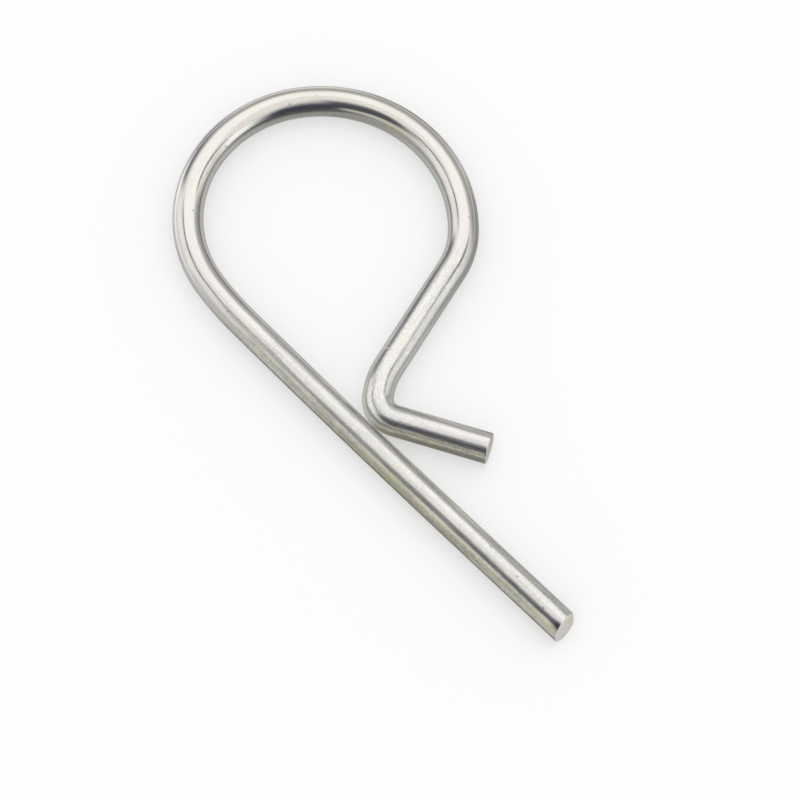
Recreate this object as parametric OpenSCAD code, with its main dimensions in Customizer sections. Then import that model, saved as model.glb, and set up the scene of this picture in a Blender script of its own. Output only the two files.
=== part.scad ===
// Hitch R clip: one length of plated spring wire, bent to shape and sheared off at both ends.
// It lies flat on Z = 0. The straight leg points along +X to its free end and the loop is on the +Y side.
// X = 0 and Y = 0 are the middle of the clip's length and width. Millimetres and degrees.

/* [Wire] */
// Diameter of the drawn wire
wire_d = 4; // [3.2:0.1:4.8]

/* [Leg] */
// Straight free end, the part that goes through the cross hole
leg_free = 19.2; // [12:0.1:26]
// Length of the faintly bowed stretch between the free end and the loop
leg_bow = 39; // [34:0.5:46]
// Radius of that bow
leg_bow_r = 1650; // [1000:10:3000]

/* [Loop] */
// Radius of the easing bend from the leg into the loop
ease_r = 45; // [36:1:54]
// Turn of the easing bend
ease_turn = 8.4; // [7:0.1:10]
// Radius of the side of the loop next to the leg
near_r = 16.75; // [15:0.05:18.5]
// Turn of that side
near_turn = 116.2; // [112:0.1:120]
// Radius of the side of the loop next to the arm
far_r = 18.5; // [17:0.05:20]
// Turn of that side
far_turn = 100.5; // [97:0.1:104]
// Radius of the shoulder, where the loop straightens into the arm
shoulder_r = 11; // [9:0.1:13]
// Turn of the shoulder
shoulder_turn = 29; // [26:0.1:32]

/* [Nose and tail] */
// Radius of both bends of the nose, which snaps over the pin and springs back to the leg
nose_r = 3; // [2.6:0.1:4]
// Turn of the nose's first bend
nose_turn = 23; // [15:0.1:30]
// Straight between the nose's two bends
nose_flat = 1.8; // [1:0.1:3]
// Clearance left between the nose and the leg when nothing is in the clip
nose_gap = 0.1; // [0.05:0.05:0.6]
// Angle at which the tail flares away from the leg
tail_angle = 27.6; // [20:0.1:34]
// Straight length of the tail
tail_length = 12.6; // [8:0.1:16]

/* [Sheared ends] */
// Slant of the cut on the leg, seen from above
leg_slant = 6.5; // [0:0.5:15]
// Lean of that cut, which leaves the underside of the wire longest
leg_lean = 9; // [0:0.5:15]
// Radius of the edge of the leg that the shear blade rolled over
roll_r = 0.75; // [0.4:0.05:0.9]
// Slant of the cut on the tail
tail_slant = 0.5; // [0:0.5:15]
// Lean of the cut on the tail
tail_lean = 2; // [0:0.5:15]
// Radius of the rolled edge of the tail
tail_roll_r = 0.3; // [0.2:0.05:0.9]

/* [Hidden] */
// Sides of a full circle
$fn = 96;

// How far a cutting shape runs on past the wire
over = 1;
// Wire stretches thin as it is bent. Every second stretch, all of them bends, is drawn thinner by this share of
// the wire and runs on a little way into its neighbours, so that the wire is one solid and not pieces that touch
thinning = 0.008;
lap = 0.05;
// Share of its radius by which the rolled edge starts outside the wire, so that it meets the wire at an angle
roll_start = 0.15;

wire_r = wire_d / 2;
thin_r = wire_r - thinning * wire_d;

// The turn of the bowed stretch, and the heading of the wire at the arm and between the nose's bends
bow_turn = leg_bow / leg_bow_r * 180 / PI;
arm_heading = 180 - bow_turn - ease_turn - near_turn - far_turn - shoulder_turn;
flat_heading = arm_heading + nose_turn;

// A unit step along a heading, and one to the left of it
function ahead(heading) = [cos(heading), sin(heading)];
function left(heading) = [-sin(heading), cos(heading)];

// A stretch of wire is [length, radius, turn]: a straight has no radius and no turn, and a turn to the right
// is negative
function straight(length) = [length, 0, 0];
function bend(radius, turn) = [0, radius, turn];

// The step from the start of a stretch to its end, if it starts on this heading
function step_of(stretch, heading) =
    stretch[0] * ahead(heading)
    + sign(stretch[2]) * stretch[1] * (left(heading) - left(heading + stretch[2]));

// Heading and place at the start of stretch i, from the tip of the leg, which heads along -X
function heading_at(path, i) = i == 0 ? 180 : heading_at(path, i - 1) + path[i - 1][2];
function place_at(path, i) =
    i == 0 ? [0, 0] : place_at(path, i - 1) + step_of(path[i - 1], heading_at(path, i - 1));

// From the tip of the leg round to the arm
leg_and_loop = [
    straight(leg_free),
    bend(leg_bow_r, -bow_turn),
    bend(ease_r, -ease_turn),
    bend(near_r, -near_turn),
    bend(far_r, -far_turn),
    bend(shoulder_r, -shoulder_turn)
];
arm_start = place_at(leg_and_loop, len(leg_and_loop));

// The arm ends where the nose's second bend is left just clear of the bowed leg. Both are circles in plan:
// from_bow runs from the middle of the bow to the middle of that bend with no arm at all, and reach is how
// far apart the two middles are in the finished clip.
from_bow = arm_start + step_of(bend(nose_r, nose_turn), arm_heading) + nose_flat * ahead(flat_heading)
    + nose_r * left(flat_heading) - [-leg_free, leg_bow_r];
reach = leg_bow_r - wire_d - nose_gap - nose_r;
along = from_bow * ahead(arm_heading);
arm_length = sqrt(along * along - from_bow * from_bow + reach * reach) - along;

// The whole wire
path = concat(leg_and_loop, [
    straight(arm_length),
    bend(nose_r, nose_turn),
    straight(nose_flat),
    bend(nose_r, tail_angle - flat_heading),
    straight(tail_length)
]);
last = len(path) - 1;

// Which stretches of it are the loop's two sides
near_side = 3;
far_side = 4;

// Size in plan: the loop is at its leftmost where it heads along +Y, on the near side,
// and at its farthest from the leg where it heads along +X, on the far side
near_middle = place_at(path, near_side) - near_r * left(heading_at(path, near_side));
far_middle = place_at(path, far_side) - far_r * left(heading_at(path, far_side));
clip_length = near_r + thin_r - near_middle[0];
clip_width = far_middle[1] + far_r + 2 * wire_r;
middle = [-clip_length / 2, clip_width / 2 - wire_r];

// Which node to draw

// A straight stretch of wire along +X from the origin
module rod(length) {
    rotate([0, 90, 0]) cylinder(r = wire_r, h = length);
}

// A bend of the wire, from the origin along +X, to the left if the turn is positive, run on past both its ends
module elbow(radius, turn, thickness, past) {
    run_on = past / radius * 180 / PI;
    translate([0, sign(turn) * radius, 0])
        rotate([0, 0, (turn > 0 ? -90 : 90 + turn) - run_on])
            rotate_extrude(angle = abs(turn) + 2 * run_on) translate([radius, 0]) circle(r = thickness);
}

// A straight stretch sheared off at its far end: the cut slants back to the +Y side, where the blade went in
// and rolled the edge over, and leans back to the top. It passes through the farthest point left on the rim,
// which is this far round from the -Y side
module sheared_rod(length, slant, lean, roll) {
    farthest = atan2(tan(lean), tan(slant));
    difference() {
        rod(length + over);
        translate([length, -wire_r * cos(farthest), -wire_r * sin(farthest)]) rotate([0, -lean, slant]) {
            translate([0, -2 * wire_d, -2 * wire_d]) cube([wire_d, 4 * wire_d, 4 * wire_d]);
            translate([-roll, wire_r * (1 + cos(farthest)) - roll * (1 - roll_start), 0]) difference() {
                translate([0, 0, -2 * wire_d]) cube([roll + over, roll + over, 4 * wire_d]);
                cylinder(r = roll, h = 4 * wire_d + 2 * over, center = true);
            }
        }
    }
}

// The wire, stretch by stretch
module clip_wire() {
    color("silver") translate([-middle[0], -middle[1], wire_r]) union() {
        translate([-leg_free, 0, 0]) sheared_rod(leg_free, leg_slant, leg_lean, roll_r);
        for (i = [1 : last - 1])
            translate(place_at(path, i)) rotate([0, 0, heading_at(path, i)])
                if (path[i][1] == 0) rod(path[i][0]);
                else if (i % 2 == 0) elbow(path[i][1], path[i][2], wire_r, 0);
                else elbow(path[i][1], path[i][2], thin_r, lap);
        translate(place_at(path, last)) rotate([0, 0, tail_angle])
            sheared_rod(tail_length, tail_slant, tail_lean, tail_roll_r);
    }
}

clip_wire();
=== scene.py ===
"""Dresses the hitch R clip: one length of bright zinc-plated spring wire, lying on a pale studio floor."""

import math

import bpy
import numpy as np
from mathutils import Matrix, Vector

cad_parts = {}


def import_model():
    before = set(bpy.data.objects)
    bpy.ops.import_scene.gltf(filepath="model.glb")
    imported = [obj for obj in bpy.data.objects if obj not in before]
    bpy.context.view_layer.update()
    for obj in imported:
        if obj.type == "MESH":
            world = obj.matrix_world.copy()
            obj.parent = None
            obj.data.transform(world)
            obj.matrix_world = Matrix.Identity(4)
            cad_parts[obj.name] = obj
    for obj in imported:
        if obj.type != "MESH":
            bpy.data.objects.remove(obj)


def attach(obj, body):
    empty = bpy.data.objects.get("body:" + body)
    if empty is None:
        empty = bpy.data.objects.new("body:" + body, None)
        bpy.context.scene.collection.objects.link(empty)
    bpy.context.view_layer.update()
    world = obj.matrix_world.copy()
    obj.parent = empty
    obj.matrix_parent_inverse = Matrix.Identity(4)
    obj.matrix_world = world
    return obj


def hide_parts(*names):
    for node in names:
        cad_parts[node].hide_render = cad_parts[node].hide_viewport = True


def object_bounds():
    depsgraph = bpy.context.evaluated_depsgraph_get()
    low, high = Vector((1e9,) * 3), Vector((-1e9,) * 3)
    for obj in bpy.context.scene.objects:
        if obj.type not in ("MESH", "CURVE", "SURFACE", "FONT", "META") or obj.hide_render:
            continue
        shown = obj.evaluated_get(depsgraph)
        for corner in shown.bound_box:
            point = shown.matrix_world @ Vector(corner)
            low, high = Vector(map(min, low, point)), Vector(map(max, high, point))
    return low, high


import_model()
cad_low, cad_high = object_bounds()

MM = 0.001

# The wire, from the imported model's bounds: it lies flat, so the clip is as high as the wire is thick, and its leg
# runs along X on the low Y side, with its tip at the high X end.
WIRE_R = (cad_high.z - cad_low.z) / 2
LEG_TIP = (cad_high.x, cad_low.y + WIRE_R)

# Its bends, as in the part's source, in millimetres and degrees.
LEG_FREE = 19.2
LEG_BOW, LEG_BOW_R = 39.0, 1650.0
EASE_R, EASE_TURN = 45.0, 8.4
NEAR_R, NEAR_TURN = 16.75, 116.2
FAR_R, FAR_TURN = 18.5, 100.5
SHOULDER_R, SHOULDER_TURN = 11.0, 29.0
NOSE_R, NOSE_TURN, NOSE_FLAT, NOSE_GAP = 3.0, 23.0, 1.8, 0.1
TAIL_ANGLE, TAIL_LENGTH = 27.6, 12.6

# How gradually a bend starts and ends, in millimetres. The nose's first bend is slower than the others and takes up
# a little of the arm, so that the nose keeps its gap.
EASING, NOSE_EASING, NOSE_TAKE_UP = 0.18, 1.2, 0.0334
# How many easings the bell-shaped average reaches to each side.
BELL_REACH = 4

# The sheared ends: slant and lean of the cut, in degrees, and radius of the rolled edge, in millimetres. A rolled
# edge starts a share of its radius outside the wire and stops just short of upright, and the rest of the rim is a
# little blunt. A cut's slant has faded out this many wire radii from the end.
LEG_END = (6.5, 9.0, 0.75)
TAIL_END = (0.5, 2.0, 0.3)
ROLL_START, ROLL_STOP = 0.15, 0.999
RIM_R = 0.09
CUT_FADE = 4

# Points on the middle line; then rows along the wire, rows across each end, rows round its rim and points round.
LINE_POINTS = 9000
ALONG, ACROSS, RIM_STEPS, ROUND = 1150, 10, 4, 72

# Where the finish changes, in millimetres along the wire from the leg's tip: from the leg into the loop, from the
# loop into the arm, and from the nose into the tail. The loop's rosier silver starts a little before the loop.
LEG_TO_LOOP = (52.0, 66.0)
LOOP_TO_ARM = (128.0, 142.0)
NOSE_TO_TAIL = (157.0, 162.0)
ROSY_FROM = (50.0, 70.0)
# A painted dark reflection at the leg's tip, on the side away from the loop, ends over this stretch.
TIP_REFLECTION_END = (0.8, 2.2)
# A mark of the bending tool across the arm: its place and half its width.
NICK_AT, NICK_HALF = 151.1, 0.16

# Colours of the plate. Where there are two, the first is that of the dark grain and the second of the bright.
SILVER = (0.615, 0.602, 0.585), (0.83, 0.813, 0.787)
ROSY_SILVER = (0.63, 0.60, 0.56), (0.85, 0.808, 0.75)
STRAW, ROSE = (0.76, 0.75, 0.68), (0.76, 0.715, 0.71)
# Painted shade for the wire's sides, darker and duller than its top, for the dim floor that they mirror: a dull
# plate with straw patches, kept on the olive side of leg and tail, and plain greys for loop and ends elsewhere.
SIDE_SHADE = (0.36, 0.355, 0.325), (0.60, 0.595, 0.54)
SIDE_SHADE_STRAW = (0.48, 0.475, 0.38)
SIDE_SHADE_LOOP, SIDE_SHADE_ENDS = (0.51, 0.508, 0.50), (0.42, 0.42, 0.415)
# Painted shade at the bottom edge where the wire meets the floor, a painted dark reflection at the tip, and pits.
BOTTOM_EDGE_SHADE, TIP_REFLECTION, PIT = (0.12, 0.115, 0.098), (0.10, 0.09, 0.08), (0.20, 0.18, 0.15)
SCRATCH = (0.85, 0.84, 0.82)
# The bare sheared faces; the olive of the leg's rolled edge is a painted reflection.
BARE_FACE, ROLLED_EDGE_REFLECTION = (0.71, 0.685, 0.665), (0.66, 0.675, 0.53)
EDGE_TINT = (0.78, 0.775, 0.755, 1.0)
# How strongly small patches of stray hue show in them.
HUE_SHARE = 0.11
# How deep the bump is where its height is 1, in millimetres.
BUMP_DEPTH = 0.06

# The view of the photograph: where it looks, in millimetres, and from how far and which way.
LOOK_AT = (4.118, -10.519, 2.0)
VIEW_DISTANCE = 436.1
VIEW_AZIMUTH, VIEW_ELEVATION = 45.214, 67.062
FOCAL_PIXELS, IMAGE_PIXELS = 3456.9, 800
SENSOR = 36.0

# Places that the studio's cards are measured from: the middle of the loop, and where nose and leg are nearest.
LOOP_MIDDLE = (-21.6, 0.4)
NOSE_AT = (4.2, -15.4)


class Shade:
    """An output of a node in one shader tree. Arithmetic on it adds Math nodes; node() adds any other node."""

    def __init__(self, tree, socket=None):
        self.tree = tree
        self.socket = socket

    def node(self, kind, settings=None, sockets=None, out=0):
        """A new node of that type: its settings first, then the values or links of its sockets."""
        made = self.tree.nodes.new(kind)
        for name, value in (settings or {}).items():
            setattr(made, name, value)
        for name, value in (sockets or {}).items():
            if isinstance(value, Shade):
                self.tree.links.new(value.socket, made.inputs[name])
            else:
                made.inputs[name].default_value = value
        return Shade(self.tree, made.outputs[out] if made.outputs else None)

    def maths(self, operation, first, second=0.0):
        return self.node("ShaderNodeMath", {"operation": operation}, {0: first, 1: second})

    def __add__(self, other):
        return self.maths("ADD", self, other)

    __radd__ = __add__

    def __sub__(self, other):
        return self.maths("SUBTRACT", self, other)

    def __rsub__(self, other):
        return self.maths("SUBTRACT", other, self)

    def __mul__(self, other):
        return self.maths("MULTIPLY", self, other)

    __rmul__ = __mul__

    def __truediv__(self, other):
        return self.maths("DIVIDE", self, other)

    def __rtruediv__(self, other):
        return self.maths("DIVIDE", other, self)

    def stretched(self, factors):
        """This vector with each of its parts multiplied."""
        return self.node("ShaderNodeVectorMath", {"operation": "MULTIPLY"}, {0: self, 1: factors})

    def noise(self, detail):
        """Smooth noise, 0 to 1, one cell to a unit of this vector."""
        return self.node(
            "ShaderNodeTexNoise", {}, {"Vector": self, "Scale": 1.0, "Detail": detail, "Roughness": 0.55}
        )

    def between(self, start, end):
        """0 where this is at start and 1 where it is at end, eased."""
        return self.node(
            "ShaderNodeMapRange", {"interpolation_type": "SMOOTHSTEP"}, {"Value": self, 1: start, 2: end}
        )

    def tint(self, under, over):
        """Colour under where this is 0 and colour over where it is 1."""
        colours = {
            index: colour if isinstance(colour, Shade) else (*colour, 1.0)
            for index, colour in ((6, under), (7, over))
        }
        return self.node("ShaderNodeMix", {"data_type": "RGBA"}, {0: self, **colours}, out=2)


def material(name):
    """An empty node material and a Shade to build it with."""
    made = bpy.data.materials.new(name)
    made.use_nodes = True
    made.node_tree.nodes.clear()
    return made, Shade(made.node_tree)


def surface(start, shader):
    """Makes the shader the surface of its material."""
    start.node("ShaderNodeOutputMaterial", {}, {"Surface": shader})


def grey(level):
    """A tone with no hue."""
    return (level,) * 3


def mesh_object(name, points, faces):
    """A new object in the scene, at the origin, with its place in its mesh."""
    mesh = bpy.data.meshes.new(name)
    mesh.from_pydata(points, [], faces)
    made = bpy.data.objects.new(name, mesh)
    bpy.context.scene.collection.objects.link(made)
    return made


def at_points(mesh, name, values):
    """Keeps a number, or a vector where values has rows, at each point of a mesh for its material to read."""
    kind, field = ("FLOAT", "value") if values.ndim == 1 else ("FLOAT_VECTOR", "vector")
    mesh.attributes.new(name, kind, "POINT").data.foreach_set(field, values.ravel())


def turned(angle):
    """Unit steps ahead on a heading in degrees and to the left of it."""
    a = math.radians(angle)
    return np.array([math.cos(a), math.sin(a)]), np.array([-math.sin(a), math.cos(a)])


def bend_step(radius, turn, heading):
    """From the start of a bend to its end: the radius times the difference between the steps to the left at start
    and end, and the other way round for a bend to the right, whose turn is negative.
    """
    return math.copysign(radius, turn) * (turned(heading)[1] - turned(heading + turn)[1])


def stretches():
    """The wire as (length, turn to the left, easing) from the leg's tip, heading along -X, to the end of the tail.

    The arm's length follows from the gap at the nose: the middle of the nose's second bend has to lie at the
    bow's radius less the wire, the gap and the nose's radius from the middle of the leg's bow, and the arm is
    the distance along its own heading at which that circle is met.
    """
    bends = [
        (LEG_BOW_R, -math.degrees(LEG_BOW / LEG_BOW_R)),
        (EASE_R, -EASE_TURN),
        (NEAR_R, -NEAR_TURN),
        (FAR_R, -FAR_TURN),
        (SHOULDER_R, -SHOULDER_TURN),
    ]
    heading, place = 180.0, np.array([-LEG_FREE, 0.0])
    for radius, turn in bends:
        place = place + bend_step(radius, turn, heading)
        heading += turn
    arm_ahead = turned(heading)[0]
    flat = heading + NOSE_TURN
    flat_ahead, flat_left = turned(flat)
    from_bow = place + bend_step(NOSE_R, NOSE_TURN, heading) + NOSE_FLAT * flat_ahead
    from_bow = from_bow + NOSE_R * flat_left - np.array([-LEG_FREE, LEG_BOW_R])
    reach = LEG_BOW_R - 2 * WIRE_R / MM - NOSE_GAP - NOSE_R
    along = from_bow @ arm_ahead
    arm = math.sqrt(along**2 - from_bow @ from_bow + reach**2) - along

    def arc(radius, turn, easing=EASING):
        return radius * math.radians(abs(turn)), turn, easing

    return [
        (LEG_FREE, 0.0, EASING),
        *(arc(radius, turn) for radius, turn in bends),
        (arm - NOSE_TAKE_UP, 0.0, EASING),
        arc(NOSE_R, NOSE_TURN, NOSE_EASING),
        (NOSE_FLAT, 0.0, EASING),
        arc(NOSE_R, TAIL_ANGLE - flat),
        (TAIL_LENGTH, 0.0, EASING),
    ]


def bent_line():
    """The wire's middle line: distance, heading and place at evenly spaced points.

    The heading is the sum of the bends' turns. Each turn runs evenly from its bend's start to its end, eased with
    a bell-shaped average, as a real bend has no sudden start, and the place is the sum of steps along the heading.
    """
    lengths, turns, easings = np.array(stretches()).T
    far = np.r_[0.0, np.cumsum(lengths)]
    s = np.linspace(0.0, far[-1], LINE_POINTS)
    step = s[1] - s[0]
    heading = np.full(LINE_POINTS, 180.0)
    for start, end, turn, easing in zip(far, far[1:], turns, easings):
        reach = int(BELL_REACH * easing / step)
        bell = np.exp(-0.5 * (np.arange(-reach, reach + 1) * step / easing) ** 2)
        padded = np.pad(np.interp(s, [start, end], [0.0, turn]), reach, mode="edge")
        heading += np.convolve(padded, bell / bell.sum(), mode="valid")
    heading = np.radians(heading)
    steps = np.c_[np.cos(heading), np.sin(heading)]
    place = np.r_[np.zeros((1, 2)), np.cumsum((steps[1:] + steps[:-1]) / 2, axis=0) * step]
    return s * MM, heading, place * MM + np.array(LEG_TIP)


def cut_depth(side, rise, slant, lean, roll):
    """How far back from the end's farthest point a sheared face lies, from its place across the wire.

    side is 1 where the blade went in and -1 opposite, and rise is 1 at the top and -1 at the bottom. The face is a
    plane that slants back to the blade's side and leans back to the top, and the last of it on the blade's side
    curls over on a circle of the roll's radius.
    """
    slope_in, slope_up = math.tan(math.radians(slant)), math.tan(math.radians(lean))
    farthest = math.atan2(slope_up, slope_in)
    plane = WIRE_R * (slope_in * (side + math.cos(farthest)) + slope_up * (rise + math.sin(farthest)))
    roll = roll * MM
    curl = np.clip((side - 1) * WIRE_R + roll * (1 - ROLL_START), 0.0, roll * ROLL_STOP)
    return plane + roll - np.sqrt(roll**2 - curl**2)


def clip_wire(name):
    """The whole wire: a circle carried along the bent line, closed at each end by its sheared face.

    The grid's rows run from the middle of the leg's face out to its rim, round the rim, along the wire, and in
    to the middle of the tail's face. A row has a radius and a distance from the end; the end's own slant and
    roll are added in full on the face and fade out within two diameters of it.
    """
    s_line, heading_line, place_line = bent_line()
    length = s_line[-1]
    rim = RIM_R * MM
    bend = np.linspace(0, math.pi / 2, RIM_STEPS + 1)[1:]
    face_r = np.linspace(0, WIRE_R - rim, ACROSS + 1)[1:]
    end_r = np.r_[face_r, WIRE_R - rim + rim * np.sin(bend)]
    end_s = np.r_[np.zeros(ACROSS), rim * (1 - np.cos(bend))]
    body_s = np.linspace(rim, length - rim, ALONG)[1:-1]
    radius = np.r_[end_r, np.full(len(body_s), WIRE_R), end_r[::-1]][:, None]
    base = np.r_[end_s, body_s, length - end_s[::-1]][:, None]
    angle = np.linspace(0, 2 * math.pi, ROUND, endpoint=False)[None, :]

    # Across the wire: left of its heading and up. The blade went in on the side towards the loop, which is to
    # the right at the leg's tip, where the line starts, and to the left at the end of the tail.
    left, up = radius * np.cos(angle), radius * np.sin(angle)
    fade = CUT_FADE * WIRE_R
    s = base + cut_depth(-left / WIRE_R, up / WIRE_R, *LEG_END) * np.clip(1 - base / fade, 0, 1)
    s = s - cut_depth(left / WIRE_R, up / WIRE_R, *TAIL_END) * np.clip(1 - (length - base) / fade, 0, 1)

    def on_line(values, at=s):
        return np.interp(at, s_line, values)

    heading = on_line(heading_line)
    x = on_line(place_line[:, 0]) - left * np.sin(heading)
    y = on_line(place_line[:, 1]) + left * np.cos(heading)
    middle_z = WIRE_R + cad_low.z
    ring = np.stack([x, y, up + middle_z], axis=-1)

    tips = []
    for at in (cut_depth(0.0, 0.0, *LEG_END), length - cut_depth(0.0, 0.0, *TAIL_END)):
        tips.append([on_line(place_line[:, 0], at), on_line(place_line[:, 1], at), middle_z])
    points = np.vstack([ring.reshape(-1, 3), tips])

    rows, columns = s.shape
    grid = np.arange(rows * columns).reshape(rows, columns)
    after = np.roll(grid, -1, axis=1)
    quads = np.stack([grid[:-1], grid[1:], after[1:], after[:-1]], axis=-1).reshape(-1, 4)
    first, last = rows * columns, rows * columns + 1
    fans = np.r_[
        np.stack([np.full(columns, first), grid[0], after[0]], axis=-1),
        np.stack([np.full(columns, last), after[-1], grid[-1]], axis=-1),
    ]
    piece = mesh_object(name, points, [*quads.tolist(), *fans.tolist()])
    mesh = piece.data
    mesh.polygons.foreach_set("use_smooth", np.ones(len(mesh.polygons), dtype=bool))

    # For the finish: the place on the wire as if it were straight, and how far a point is on a sheared face.
    straight = np.stack([s, left, up], axis=-1).reshape(-1, 3)
    at_points(mesh, "straight", np.vstack([straight, [[0, 0, 0], [length, 0, 0]]]))
    cut = np.broadcast_to(np.clip((WIRE_R - radius) / rim, 0, 1), s.shape)
    at_points(mesh, "cut", np.r_[cut.ravel(), 1.0, 1.0])
    mesh.update()
    return piece


def zinc_plate():
    """Bright zinc with a clear passivate: drawn lines along the wire, grain, and faint straw and rose patches.

    The top of the wire is bright and its sides are darker and duller, a painted shade for the dim floor they mirror.
    On the side away from the loop that shade is olive on leg and tail, and along the bottom edge is painted shade
    where the wire meets the floor, more of it on that side. The leg's tip has a painted dark reflection. The loop is
    rosier than the rest and less scuffed. The sheared faces are bare; the olive on the leg's rolled edge is a painted
    reflection.
    """
    made, start = material("zinc plate")
    straight = start.node("ShaderNodeAttribute", {"attribute_name": "straight"}, out=1)
    cut = start.node("ShaderNodeAttribute", {"attribute_name": "cut"}, out=2)
    along, side, rise = (start.node("ShaderNodeSeparateXYZ", {}, {0: straight}, out=part) for part in range(3))
    side, rise = side / WIRE_R, rise / WIRE_R

    def before(span):
        return along.between(span[1] * MM, span[0] * MM)

    def after(span):
        return along.between(span[0] * MM, span[1] * MM)

    # Patterns, each with its cells in a metre along the wire and across it.
    drawn = straight.stretched((100.0, 2300.0, 2300.0)).noise(4.0)
    grain = straight.stretched((2200.0, 7000.0, 7000.0)).noise(2.0)
    mottle = straight.stretched((700.0, 900.0, 900.0)).noise(4.0)
    wave = straight.stretched((150.0, 380.0, 380.0)).noise(1.0)
    straw = straight.stretched((110.0, 420.0, 420.0)).noise(2.0).between(0.42, 0.70)
    rose = straight.stretched((85.0, 330.0, -330.0)).noise(2.0).between(0.50, 0.74)
    hues = straight.stretched((420.0, 1500.0, 1500.0))
    hues = hues.node("ShaderNodeTexNoise", {}, {"Vector": hues, "Scale": 1.0, "Detail": 2.0}, out=1)

    # One cell in eight or so has a pit in its middle.
    cells = straight.stretched((800.0, 1100.0, 1100.0))
    from_middle, pick = (
        cells.node("ShaderNodeTexVoronoi", {}, {"Vector": cells, "Scale": 1.0}, out=part) for part in range(2)
    )
    picked = start.node("ShaderNodeSeparateColor", {}, {0: pick}).between(0.84, 0.88)
    pit = from_middle.between(0.20, 0.06) * picked

    from_nick = start.maths("ABSOLUTE", along - NICK_AT * MM) / (NICK_HALF * MM)
    nick = (1 - from_nick).between(0.0, 1.0) * side.between(0.0, -0.3)

    # Shares of the wire, 0 to 1.
    leg, arm, tail = before(LEG_TO_LOOP), after(LOOP_TO_ARM), after(NOSE_TO_TAIL)
    rosy = after(ROSY_FROM) * before(LOOP_TO_ARM)
    scuffed = 0.35 + 0.65 * (leg + arm)
    fine = (0.1 * mottle + 0.5 * grain + 0.4 * drawn).between(0.38, 0.62)
    fine = 0.5 + (fine - 0.5) * scuffed
    # Painted shade: the colour grows darker and duller down the wire's sides, for the dim floor that they mirror.
    shade_down_the_side = (rise + 0.3 * (wave - 0.5)).between(0.90, 0.58)
    # That painted shade is olive on leg and tail, on the side away from the loop.
    olive = leg * side.between(-0.3, 0.2) + tail * side.between(0.3, -0.2)
    # Painted shade along the bottom edge where the wire meets the floor, more of it on that side of leg and tail.
    more_shade_side = leg * side.between(-0.1, 0.3) + tail * side.between(0.1, -0.3)
    under = (rise + 0.2 * (mottle - 0.5) - 0.25 * tail).between(0.28, 0.02) * (0.25 + 0.50 * more_shade_side)
    # A painted dark reflection at the leg's tip.
    dark_tip_reflection = before(TIP_REFLECTION_END) * side.between(0.15, 0.35) * side.between(0.85, 0.6) * rise.between(0.3, 0.5)
    # Where the leg's face rolled over; it carries a painted olive reflection.
    rolled = leg * side.between(-0.05, -0.65)

    # Colours, from the plate on top of the wire to the painted shade of its sides and bottom edge, its marks and its
    # ends.
    dark, bright = (rosy.tint(plain, warm) for plain, warm in zip(SILVER, ROSY_SILVER))
    plate = (0.7 * rose).tint((0.8 * straw).tint(fine.tint(dark, bright), STRAW), ROSE)
    # The sides' painted shade: dull plate with straw patches on the olive side, mostly plain greys elsewhere.
    shaded_side_colour = (0.6 * straw).tint(fine.tint(*SIDE_SHADE), SIDE_SHADE_STRAW)
    shaded_side_colour = (0.7 - 0.7 * olive).tint(shaded_side_colour, (leg + tail).tint(SIDE_SHADE_LOOP, SIDE_SHADE_ENDS))
    # The painted shade of the sides and of the bottom edge, laid over the plate.
    skin = under.tint(shade_down_the_side.tint(plate, shaded_side_colour), BOTTOM_EDGE_SHADE)
    overlay = {"data_type": "RGBA", "blend_type": "OVERLAY"}
    tinged = start.node("ShaderNodeMix", overlay, {0: HUE_SHARE, 6: skin, 7: hues}, out=2)
    marked = (0.5 * pit).tint((0.35 * nick).tint(tinged, SCRATCH), PIT)
    # A painted dark reflection at the leg's tip; the sheared faces bare, with a painted olive reflection on the
    # rolled edge.
    colour = cut.tint((0.75 * dark_tip_reflection).tint(marked, TIP_REFLECTION), rolled.tint(BARE_FACE, ROLLED_EDGE_REFLECTION))

    roughness = 0.10 + (0.1 * drawn + 0.1 * mottle) * scuffed + 0.1 * pit + 0.3 * cut
    roughness = roughness + 0.16 * rise.between(0.70, 0.40)
    height = 0.8 * wave + (0.5 * drawn + 0.08 * mottle + 0.08 * grain) * scuffed - 0.2 * pit + 0.4 * nick
    bump = {"Strength": 1.0, "Distance": BUMP_DEPTH * MM, "Height": height}
    shader = start.node(
        "ShaderNodeBsdfPrincipled",
        {},
        {
            "Base Color": colour,
            "Metallic": 1.0,
            "Roughness": roughness,
            "Specular Tint": EDGE_TINT,
            "Normal": start.node("ShaderNodeBump", {}, bump),
        },
    )
    surface(start, shader)
    return made


def in_view(azimuth, elevation):
    """Directions as the camera has them: azimuth 0 is away from the camera and 90 to its right, in degrees."""
    a, e = np.radians(azimuth)[..., None], np.radians(elevation)[..., None]
    right, back = turned(VIEW_AZIMUTH)
    return np.concatenate([np.cos(e) * (np.sin(a) * right + np.cos(a) * back), np.sin(e)], axis=-1)


def unit_grid(steps):
    """Two grids of numbers from 0 to 1: one that grows across and one that grows upward."""
    return np.meshgrid(np.linspace(0, 1, steps), np.linspace(0, 1, steps))


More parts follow.
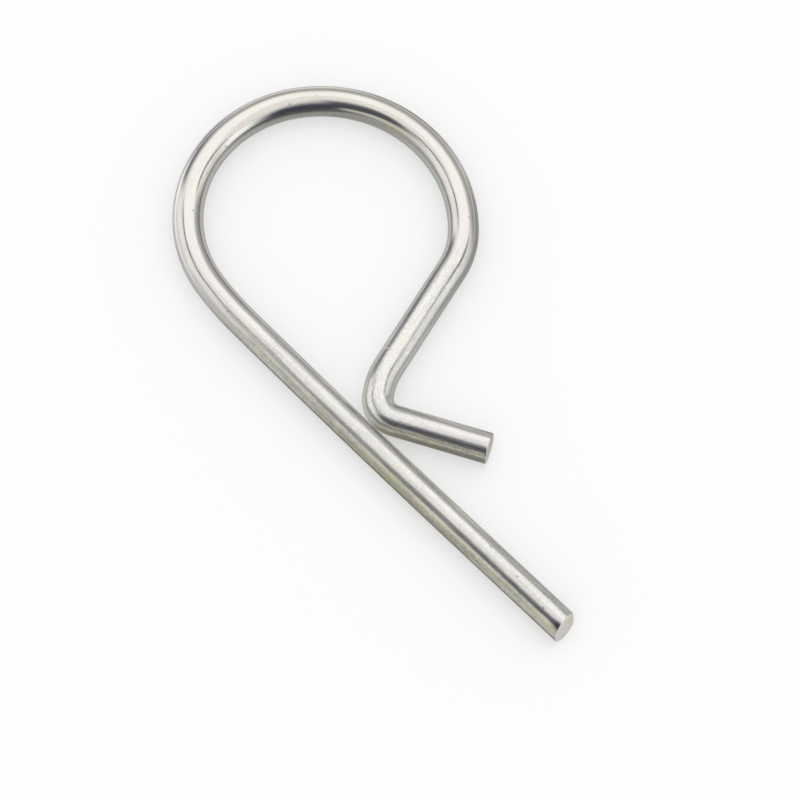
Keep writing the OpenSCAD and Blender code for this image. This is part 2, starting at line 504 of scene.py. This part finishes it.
def studio_card(name, points, dense, tone):
    """A sheet of one tone that the metal mirrors and the camera looks past, from a grid of points.

    dense is 1 where the sheet is whole and 0 where it has thinned out to nothing.
    """
    grid = np.arange(dense.size).reshape(dense.shape)
    quads = np.stack([grid[:-1, :-1], grid[1:, :-1], grid[1:, 1:], grid[:-1, 1:]], axis=-1).reshape(-1, 4)
    card = mesh_object(name, points.reshape(-1, 3), quads.tolist())
    at_points(card.data, "dense", dense.ravel())
    made, start = material(name)
    share = start.node("ShaderNodeAttribute", {"attribute_name": "dense"}, out=2).between(0.0, 1.0)
    clear = start.node("ShaderNodeBsdfTransparent")
    glow = start.node("ShaderNodeEmission", {}, {"Color": (*tone, 1.0), "Strength": 1.0})
    surface(start, start.node("ShaderNodeMixShader", {}, {0: share, 1: clear, 2: glow}))
    card.data.materials.append(made)
    card.visible_camera = card.visible_diffuse = False
    return card


def wall_panel(name, corners, tone, thinning, distance, steps=32):
    """A patch of a ball round the clip, this many metres away.

    Azimuth and elevation, as the camera has them, run evenly between the four corners: low left, low right, high
    right and high left. Along its left, right, lower and upper edges it thins out, each over its own share of the
    panel.
    """
    across, upward = unit_grid(steps)
    shares = np.stack([(1 - across) * (1 - upward), across * (1 - upward), across * upward, (1 - across) * upward])
    points = distance * in_view(*np.einsum("cij,ck->kij", shares, np.array(corners, dtype=float)))
    sharp = 1e-6
    inward = np.stack([across, 1 - across, upward, 1 - upward]) / np.maximum(thinning, sharp)[:, None, None]
    studio_card(name, points, np.clip(inward, 0, 1).prod(axis=0), tone)


def floor_card(name, middle, halves, tone, tilt, lift=0.2, hole=0.05, thinning=0.4, steps=24):
    """An oval just over the floor, squared up with the camera, that thins out to its rim.

    middle is how far right of and beyond the middle of the loop it lies, and halves its half width and half
    depth, in millimetres. A tilted one rises towards the camera, by its tilt in each unit of depth. The hole is a
    small share of the oval, left open at its middle.
    """
    out, round_it = np.meshgrid(np.linspace(hole, 1, steps), np.linspace(0, 2 * math.pi, 2 * steps))
    right, back = turned(VIEW_AZIMUTH)
    flat = (middle[0] + halves[0] * out * np.cos(round_it))[..., None] * right
    flat = flat + (middle[1] + halves[1] * out * np.sin(round_it))[..., None] * back
    rise = lift + tilt * halves[1] * (1 - out * np.sin(round_it))
    points = np.concatenate([flat + np.array(LOOP_MIDDLE), rise[..., None]], axis=-1) * MM
    studio_card(name, points, np.clip((1 - out) / thinning, 0, 1), tone).visible_shadow = False


def standing_card(name, reach, slope, tone, foot=0.1, height=3.4, curve=20, thinning=(0.2, 0.3), steps=32):
    """An upright sheet in the narrow gap beside the nose, midway between the nose and the leg.

    It starts where the two are nearest and reaches this far along the leg, in millimetres. Its distance from the
    leg is at first the square of the way over the curve, as the nose is round, and further on grows by the slope.
    It thins out to its far end and its top.
    """
    across, upward = unit_grid(steps)
    way = abs(reach) * across
    aside = slope * way**2 / (way + curve * slope)
    points = np.stack([NOSE_AT[0] + reach * across, NOSE_AT[1] + aside, foot + height * upward], axis=-1) * MM
    dense = np.clip((1 - across) / thinning[0], 0, 1) * np.clip((1 - upward) / thinning[1], 0, 1)
    studio_card(name, points, dense, tone).visible_shadow = False


def pale_floor(size=4.0, paleness=0.94, whiteness=0.5):
    """A plain floor, pale and matt. What the camera sees of it and what the metal mirrors is part plain white."""
    corners = [(-size, -size, 0), (size, -size, 0), (size, size, 0), (-size, size, 0)]
    floor = mesh_object("floor", corners, [(0, 1, 2, 3)])
    made, start = material("pale floor")
    camera_ray, glossy_ray, clear_ray = (
        start.node("ShaderNodeLightPath", out=f"Is {kind} Ray") for kind in ("Camera", "Glossy", "Transmission")
    )
    seen = start.maths("MINIMUM", camera_ray + glossy_ray + clear_ray, 1.0)
    matt = start.node("ShaderNodeBsdfDiffuse", {}, {"Color": (*grey(paleness), 1.0)})
    white = start.node("ShaderNodeEmission", {}, {"Color": (*grey(1.0), 1.0), "Strength": 1.0})
    surface(start, start.node("ShaderNodeMixShader", {}, {0: whiteness * seen, 1: matt, 2: white}))
    floor.data.materials.append(made)


# Panels on a ball round the clip: corners, tone, the shares over which the edges thin out, and distance. The dark
# streak stands in front of the far wall.
WALL_PANELS = {
    "dark front": ([(126, -3), (200, -3), (200, 90), (140, 76)], (0.085, 0.088, 0.13), (0.3, 0.08, 0.0, 0.6), 0.5),
    "dark corner": ([(186, 11), (270, 35), (270, 78), (186, 88)], (0.10, 0.10, 0.12), (0.1, 0.38, 0.18, 0.46), 0.5),
    "olive front": ([(194, -3), (262, -3), (262, 36), (194, 18)], (0.90, 0.875, 0.75), (0.1, 0.4, 0.0, 0.1), 0.5),
    "white left": ([(262, -3), (306, -3), (306, 40), (262, 40)], grey(1.10), (0.2, 0.2, 0.0, 0.2), 0.5),
    "white right": ([(94, -3), (136, -3), (136, 44), (98, 44)], grey(1.5), (0.3, 0.25, 0.0, 0.3), 0.5),
    "far wall": ([(306, -3), (452, -3), (430, 50), (318, 45)], grey(0.46), (0.08, 0.18, 0.0, 0.6), 0.5),
    "dark streak": ([(303, -3), (335, -3), (329, 33), (304, 36)], (0.24, 0.245, 0.28), (0.3, 0.4, 0.0, 0.42), 0.46),
    "gap on the left": ([(256, 48), (312, 40), (316, 48), (256, 61)], grey(0.09), (0.1, 0.1, 0.4, 0.4), 0.5),
    "gap on the right": ([(56, 37), (112, 42), (112, 55), (56, 51)], grey(0.08), (0.2, 0.45, 0.36, 0.36), 0.5),
}

# Cards on the floor: middle, half width and half depth, tone and tilt.
FLOOR_CARDS = {
    "dark card in the loop": ((-1.5, 7.0), (4.5, 4.2), (0.085, 0.085, 0.11), 0.45),
    "white card beside the loop": ((-34.0, 6.0), (13.0, 26.0), grey(1.7), 0.0),
    "grey card on the right": ((36.0, -14.0), (20.0, 42.0), grey(0.50), 0.0),
    "grey card in front": ((-4.0, -50.0), (26.0, 26.0), (0.66, 0.65, 0.57), 0.0),
    "grey card left of the loop": ((-22.5, 23.5), (9.0, 10.0), (0.36, 0.36, 0.39), 0.0),
    "grey card behind the loop": ((20.0, 26.0), (18.0, 13.0), (0.50, 0.50, 0.48), 0.0),
    "grey card inside the loop": ((0.5, 8.0), (9.5, 7.0), (0.56, 0.55, 0.49), 0.0),
}

# Cards that stand beside the nose: reach along the leg, slope and tone.
STANDING_CARDS = {
    "pale card in the mouth": (21.0, 0.26, (0.90, 0.89, 0.81)),
    "pale card in the throat": (-11.0, 0.65, (1.10, 1.10, 1.03)),
}

# The soft box: width and depth in metres, power, colour, direction as the camera has it, and distance in metres.
SOFT_BOX_SIZE, SOFT_BOX_POWER, SOFT_BOX_COLOUR = (0.80, 0.42), 0.23, (1.0, 0.985, 0.955)
SOFT_BOX_FROM, SOFT_BOX_DISTANCE = (15, 58), 0.6


def studio():
    """White surroundings, a soft box above and behind the clip, and plain panels and cards that the metal mirrors."""
    scene = bpy.context.scene
    scene.view_settings.view_transform = "Standard"
    world = bpy.data.worlds.new("white studio")
    world.use_nodes = True
    world.node_tree.nodes["Background"].inputs["Color"].default_value = (*grey(1.0), 1.0)
    world.node_tree.nodes["Background"].inputs["Strength"].default_value = 1.0
    scene.world = world

    lamp = bpy.data.lights.new("soft box", "AREA")
    lamp.shape = "RECTANGLE"
    lamp.size, lamp.size_y = SOFT_BOX_SIZE
    lamp.energy, lamp.color = SOFT_BOX_POWER, SOFT_BOX_COLOUR
    soft_box = bpy.data.objects.new("soft box", lamp)
    toward = Vector(in_view(*SOFT_BOX_FROM))
    soft_box.location = toward * SOFT_BOX_DISTANCE
    soft_box.rotation_euler = toward.to_track_quat("Z", "Y").to_euler()
    scene.collection.objects.link(soft_box)

    for make, table in ((wall_panel, WALL_PANELS), (floor_card, FLOOR_CARDS), (standing_card, STANDING_CARDS)):
        for name, values in table.items():
            make(name, *values)


def camera():
    """The photograph's own view: it looks at one point from its distance and direction."""
    data = bpy.data.cameras.new("photograph")
    data.sensor_width = SENSOR
    data.lens = SENSOR * FOCAL_PIXELS / IMAGE_PIXELS
    data.clip_start, data.clip_end = 0.01, 20.0
    eye = bpy.data.objects.new("photograph", data)
    back = Vector(in_view(180, VIEW_ELEVATION))
    eye.location = Vector(LOOK_AT) * MM + back * VIEW_DISTANCE * MM
    eye.rotation_mode = "QUATERNION"
    eye.rotation_quaternion = (-back).to_track_quat("-Z", "Y")
    bpy.context.scene.collection.objects.link(eye)
    bpy.context.scene.camera = eye


wire = clip_wire("zinc_plated_wire")
wire.data.materials.append(zinc_plate())
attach(wire, "root")
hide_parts("clip_wire")

pale_floor()
studio()
camera()
